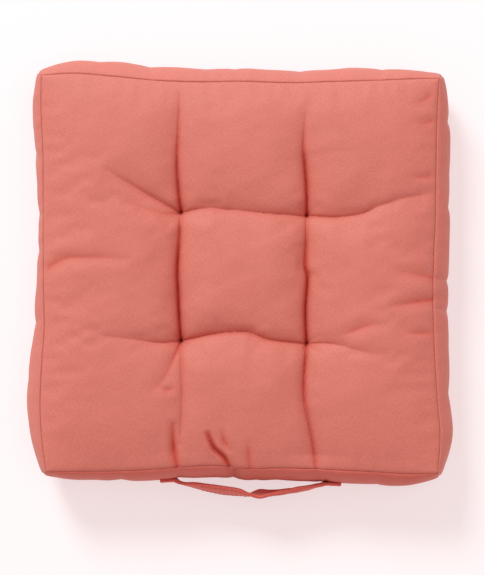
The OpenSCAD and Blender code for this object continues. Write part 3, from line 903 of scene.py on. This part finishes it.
def spun_thread(name, colour, twist_mm):
    """Twisted sewing or tufting thread: a slanted stripe for its ply, slightly waxy."""
    m = new_material(name)
    place = node(m, "ShaderNodeTexCoord").outputs["Object"]
    ply = node(m, "ShaderNodeTexWave", {"wave_type": "BANDS", "bands_direction": "DIAGONAL",
                                        "Scale": 1000 / twist_mm / 6.28, "Distortion": 0.6, "Detail": 1.0},
               Vector=place)
    shade = node(m, "ShaderNodeMapRange", {"To Min": 0.8, "To Max": 1.1}, Value=ply.outputs["Fac"])
    tint = node(m, "ShaderNodeHueSaturation", {"Color": linear(colour)}, Value=shade.outputs[0])
    bump = node(m, "ShaderNodeBump", {"Strength": 0.5, "Distance": 0.0003}, Height=ply.outputs["Fac"])
    yarn = node(m, "ShaderNodeBsdfPrincipled", {"Roughness": 0.7, "Specular IOR Level": 0.3},
                Normal=bump.outputs[0])
    m.node_tree.links.new(tint.outputs[0], yarn.inputs["Base Color"])
    node(m, "ShaderNodeOutputMaterial", {}, Surface=yarn.outputs[0])
    return m


def loose_fibre(name, colour):
    """Crimped white polyester fibre: soft and cloudy, with a sheen at its edges."""
    m = new_material(name)
    place = node(m, "ShaderNodeTexCoord").outputs["Object"]
    tufts = node(m, "ShaderNodeTexNoise", {"Scale": 160.0, "Detail": 6.0, "Roughness": 0.7, "Distortion": 1.2},
                 Vector=place)
    shade = node(m, "ShaderNodeMapRange", {"To Min": 0.85, "To Max": 1.05}, Value=tufts.outputs["Fac"])
    tint = node(m, "ShaderNodeHueSaturation", {"Color": linear(colour)}, Value=shade.outputs[0])
    bump = node(m, "ShaderNodeBump", {"Strength": 0.8, "Distance": 0.002}, Height=tufts.outputs["Fac"])
    fibre = node(m, "ShaderNodeBsdfPrincipled", {"Roughness": 1.0, "Specular IOR Level": 0.1,
                                                 "Sheen Weight": 0.5, "Sheen Roughness": 0.6},
                 Normal=bump.outputs[0])
    m.node_tree.links.new(tint.outputs[0], fibre.inputs["Base Color"])
    node(m, "ShaderNodeOutputMaterial", {}, Surface=fibre.outputs[0])
    return m


# Threads of about 0.5 mm are too fine to show, so they are drawn 0.9 mm apart.
# The fifth colour is painted shade, mixed in where a piece has the attribute "crease".
COVER = canvas("coral_cotton_canvas", "d37c70", "d78276", "cf766a", "c63f2e", 0.9, 0.22)
STRAP = canvas("folded_coral_canvas", "d8655a", "dd6f64", "d25c51", "c63f2e", 0.9, 0.35)
THREAD = spun_thread("coral_sewing_thread", "b8463c", 0.8)
TIE = spun_thread("waxed_tufting_thread", "a83c33", 1.4)
FIBRE = loose_fibre("white_polyester_fibre", "f0efea")

def dress(obj, material, nodes, body="cushion"):
    """Gives a piece its material and slot, lets it ride its body (the handle's pieces instead have their place
    baked into their points) and stand for its CAD nodes.
    """
    obj.data.materials.append(material)
    if body == "handle":
        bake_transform(obj)
    else:
        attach(obj, body)
    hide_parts(*nodes)
    return obj


for name, obj in pieces.items():
    dress(obj, COVER, [name])
dress(filling(), FIBRE, ["fibre_filling"])
dress(strap(), STRAP, ["handle_strap", "handle_end_left", "handle_end_right"], "handle")
edge_rows = strap_rows(-36, 58, (-0.76, 0.76), 4, 3)
dress(tube("handle_edge_rows", edge_rows, 0.25), THREAD, ["handle_edge_stitches"], "handle")
for side, (low, high) in (("left", TAB_LEFT), ("right", TAB_RIGHT)):
    rows = strap_rows(low + 2, high - 3.4, (-0.7, 0.7), 2.8, 2) + cross_rows((low + 2, high - 2), 2)
    dress(tube("handle_end_rows_" + side, rows, 0.3), THREAD,
          ["handle_end_stitches_" + side])
for name, (x, y) in TUFTS.items():
    dress(tie("tie_" + name, x, y), TIE, ["tuft_tie_" + name])
for name, height in (("top_seam_thread", SEAM_HIGH - 3.5), ("bottom_seam_thread", SEAM_LOW + 3.5)):
    dress(tube(name + "_run", [seam_run(height, 3.0)], 0.35), THREAD, [name])
dress(tube("closing_rows", closing_run(), 0.35), THREAD, ["closing_stitches"])
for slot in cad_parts["corner_seam_threads"].material_slots:
    slot.material = THREAD

floor_mesh = bpy.data.meshes.new("floor")
floor_mesh.from_pydata([(-4, -4, 0), (4, -4, 0), (4, 4, 0), (-4, 4, 0)], [], [(0, 1, 2, 3)])
floor = bpy.data.objects.new("floor", floor_mesh)
bpy.context.collection.objects.link(floor)
paper = new_material("white_paper_floor")
white = node(paper, "ShaderNodeBsdfPrincipled", {"Base Color": linear("c0bfc1"), "Roughness": 0.9,
                                                 "Specular IOR Level": 0.1,
                                                 "Emission Color": linear("fffafd"),
                                                 "Emission Strength": 0.52})
node(paper, "ShaderNodeOutputMaterial", {}, Surface=white.outputs[0])
floor.data.materials.append(paper)
